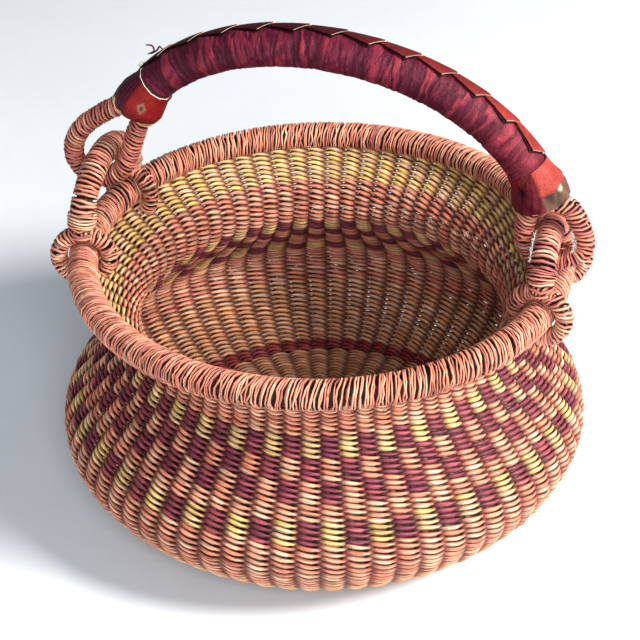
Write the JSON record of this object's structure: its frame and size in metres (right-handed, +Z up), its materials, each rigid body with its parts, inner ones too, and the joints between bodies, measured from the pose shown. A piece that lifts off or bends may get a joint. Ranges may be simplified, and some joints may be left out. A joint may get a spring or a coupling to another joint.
{
  "type": "egg basket",
  "caption": "Round pot-bellied basket of twined grass with a flared whipped rim, two ears and a padded leather handle linked to them that swings.",
  "frame": {"origin": "centre of the flat base, on the surface the basket stands on", "axes": "+Z up, X through the two ears and along the handle, -Y to the front"},
  "size_m": [0.272, 0.272, 0.2559],
  "materials": {
    "yellow_grass": "dry matte grass",
    "coral_grass": "dry matte grass",
    "plum_grass": "dry matte grass",
    "natural_grass": "dry matte grass",
    "dark_red_grass": "dry matte grass",
    "coral_whipping": "dry matte grass",
    "peach_binding": "dry matte grass",
    "bundled_grass": "dry matte grass",
    "maroon_leather": "wrinkled, half gloss",
    "red_lacing_leather": "half gloss",
    "dark_red_leather": "half gloss",
    "salmon_leather": "half gloss",
    "cream_thread": "matte cotton"
  },
  "bodies": {
    "basket": {"base_disc": "natural_grass", "top_yellow_weft": "yellow_grass", "neck_coral_weft": "coral_grass", "shoulder_check_weft": "plum_grass", "belly_coral_weft": "coral_grass", "lower_natural_weft": "natural_grass", "foot_red_weft": "dark_red_grass", "rim_core": "bundled_grass", "rim_whipping": "coral_whipping", "left_ear_core": "bundled_grass", "left_ear_whipping": "coral_whipping", "left_front_foot_loop": "coral_whipping", "left_front_foot_binding": "peach_binding", "left_back_foot_loop": "coral_whipping", "left_back_foot_binding": "peach_binding", "right_ear_core": "bundled_grass", "right_ear_whipping": "coral_whipping", "right_front_foot_loop": "coral_whipping", "right_front_foot_binding": "peach_binding", "right_back_foot_loop": "coral_whipping", "right_back_foot_binding": "peach_binding"},
    "handle": {"handle_core": "bundled_grass", "handle_leather": "maroon_leather", "seam_lacing": "red_lacing_leather", "cuff_thread": "cream_thread", "left_cuff": "dark_red_leather", "right_cuff": "salmon_leather", "left_ring_core": "bundled_grass", "left_ring_whipping": "coral_whipping", "left_ring_binding": "peach_binding", "right_ring_core": "bundled_grass", "right_ring_whipping": "coral_whipping"}
  },
  "joints": [
    {"name": "handle_swing", "type": "hinge", "parent": "basket", "child": "handle", "pos_m": [-0.0005, 0, 0.14975], "axis": [0.999, 0, -0.045], "range_deg": [-52, 52]}
  ]
}
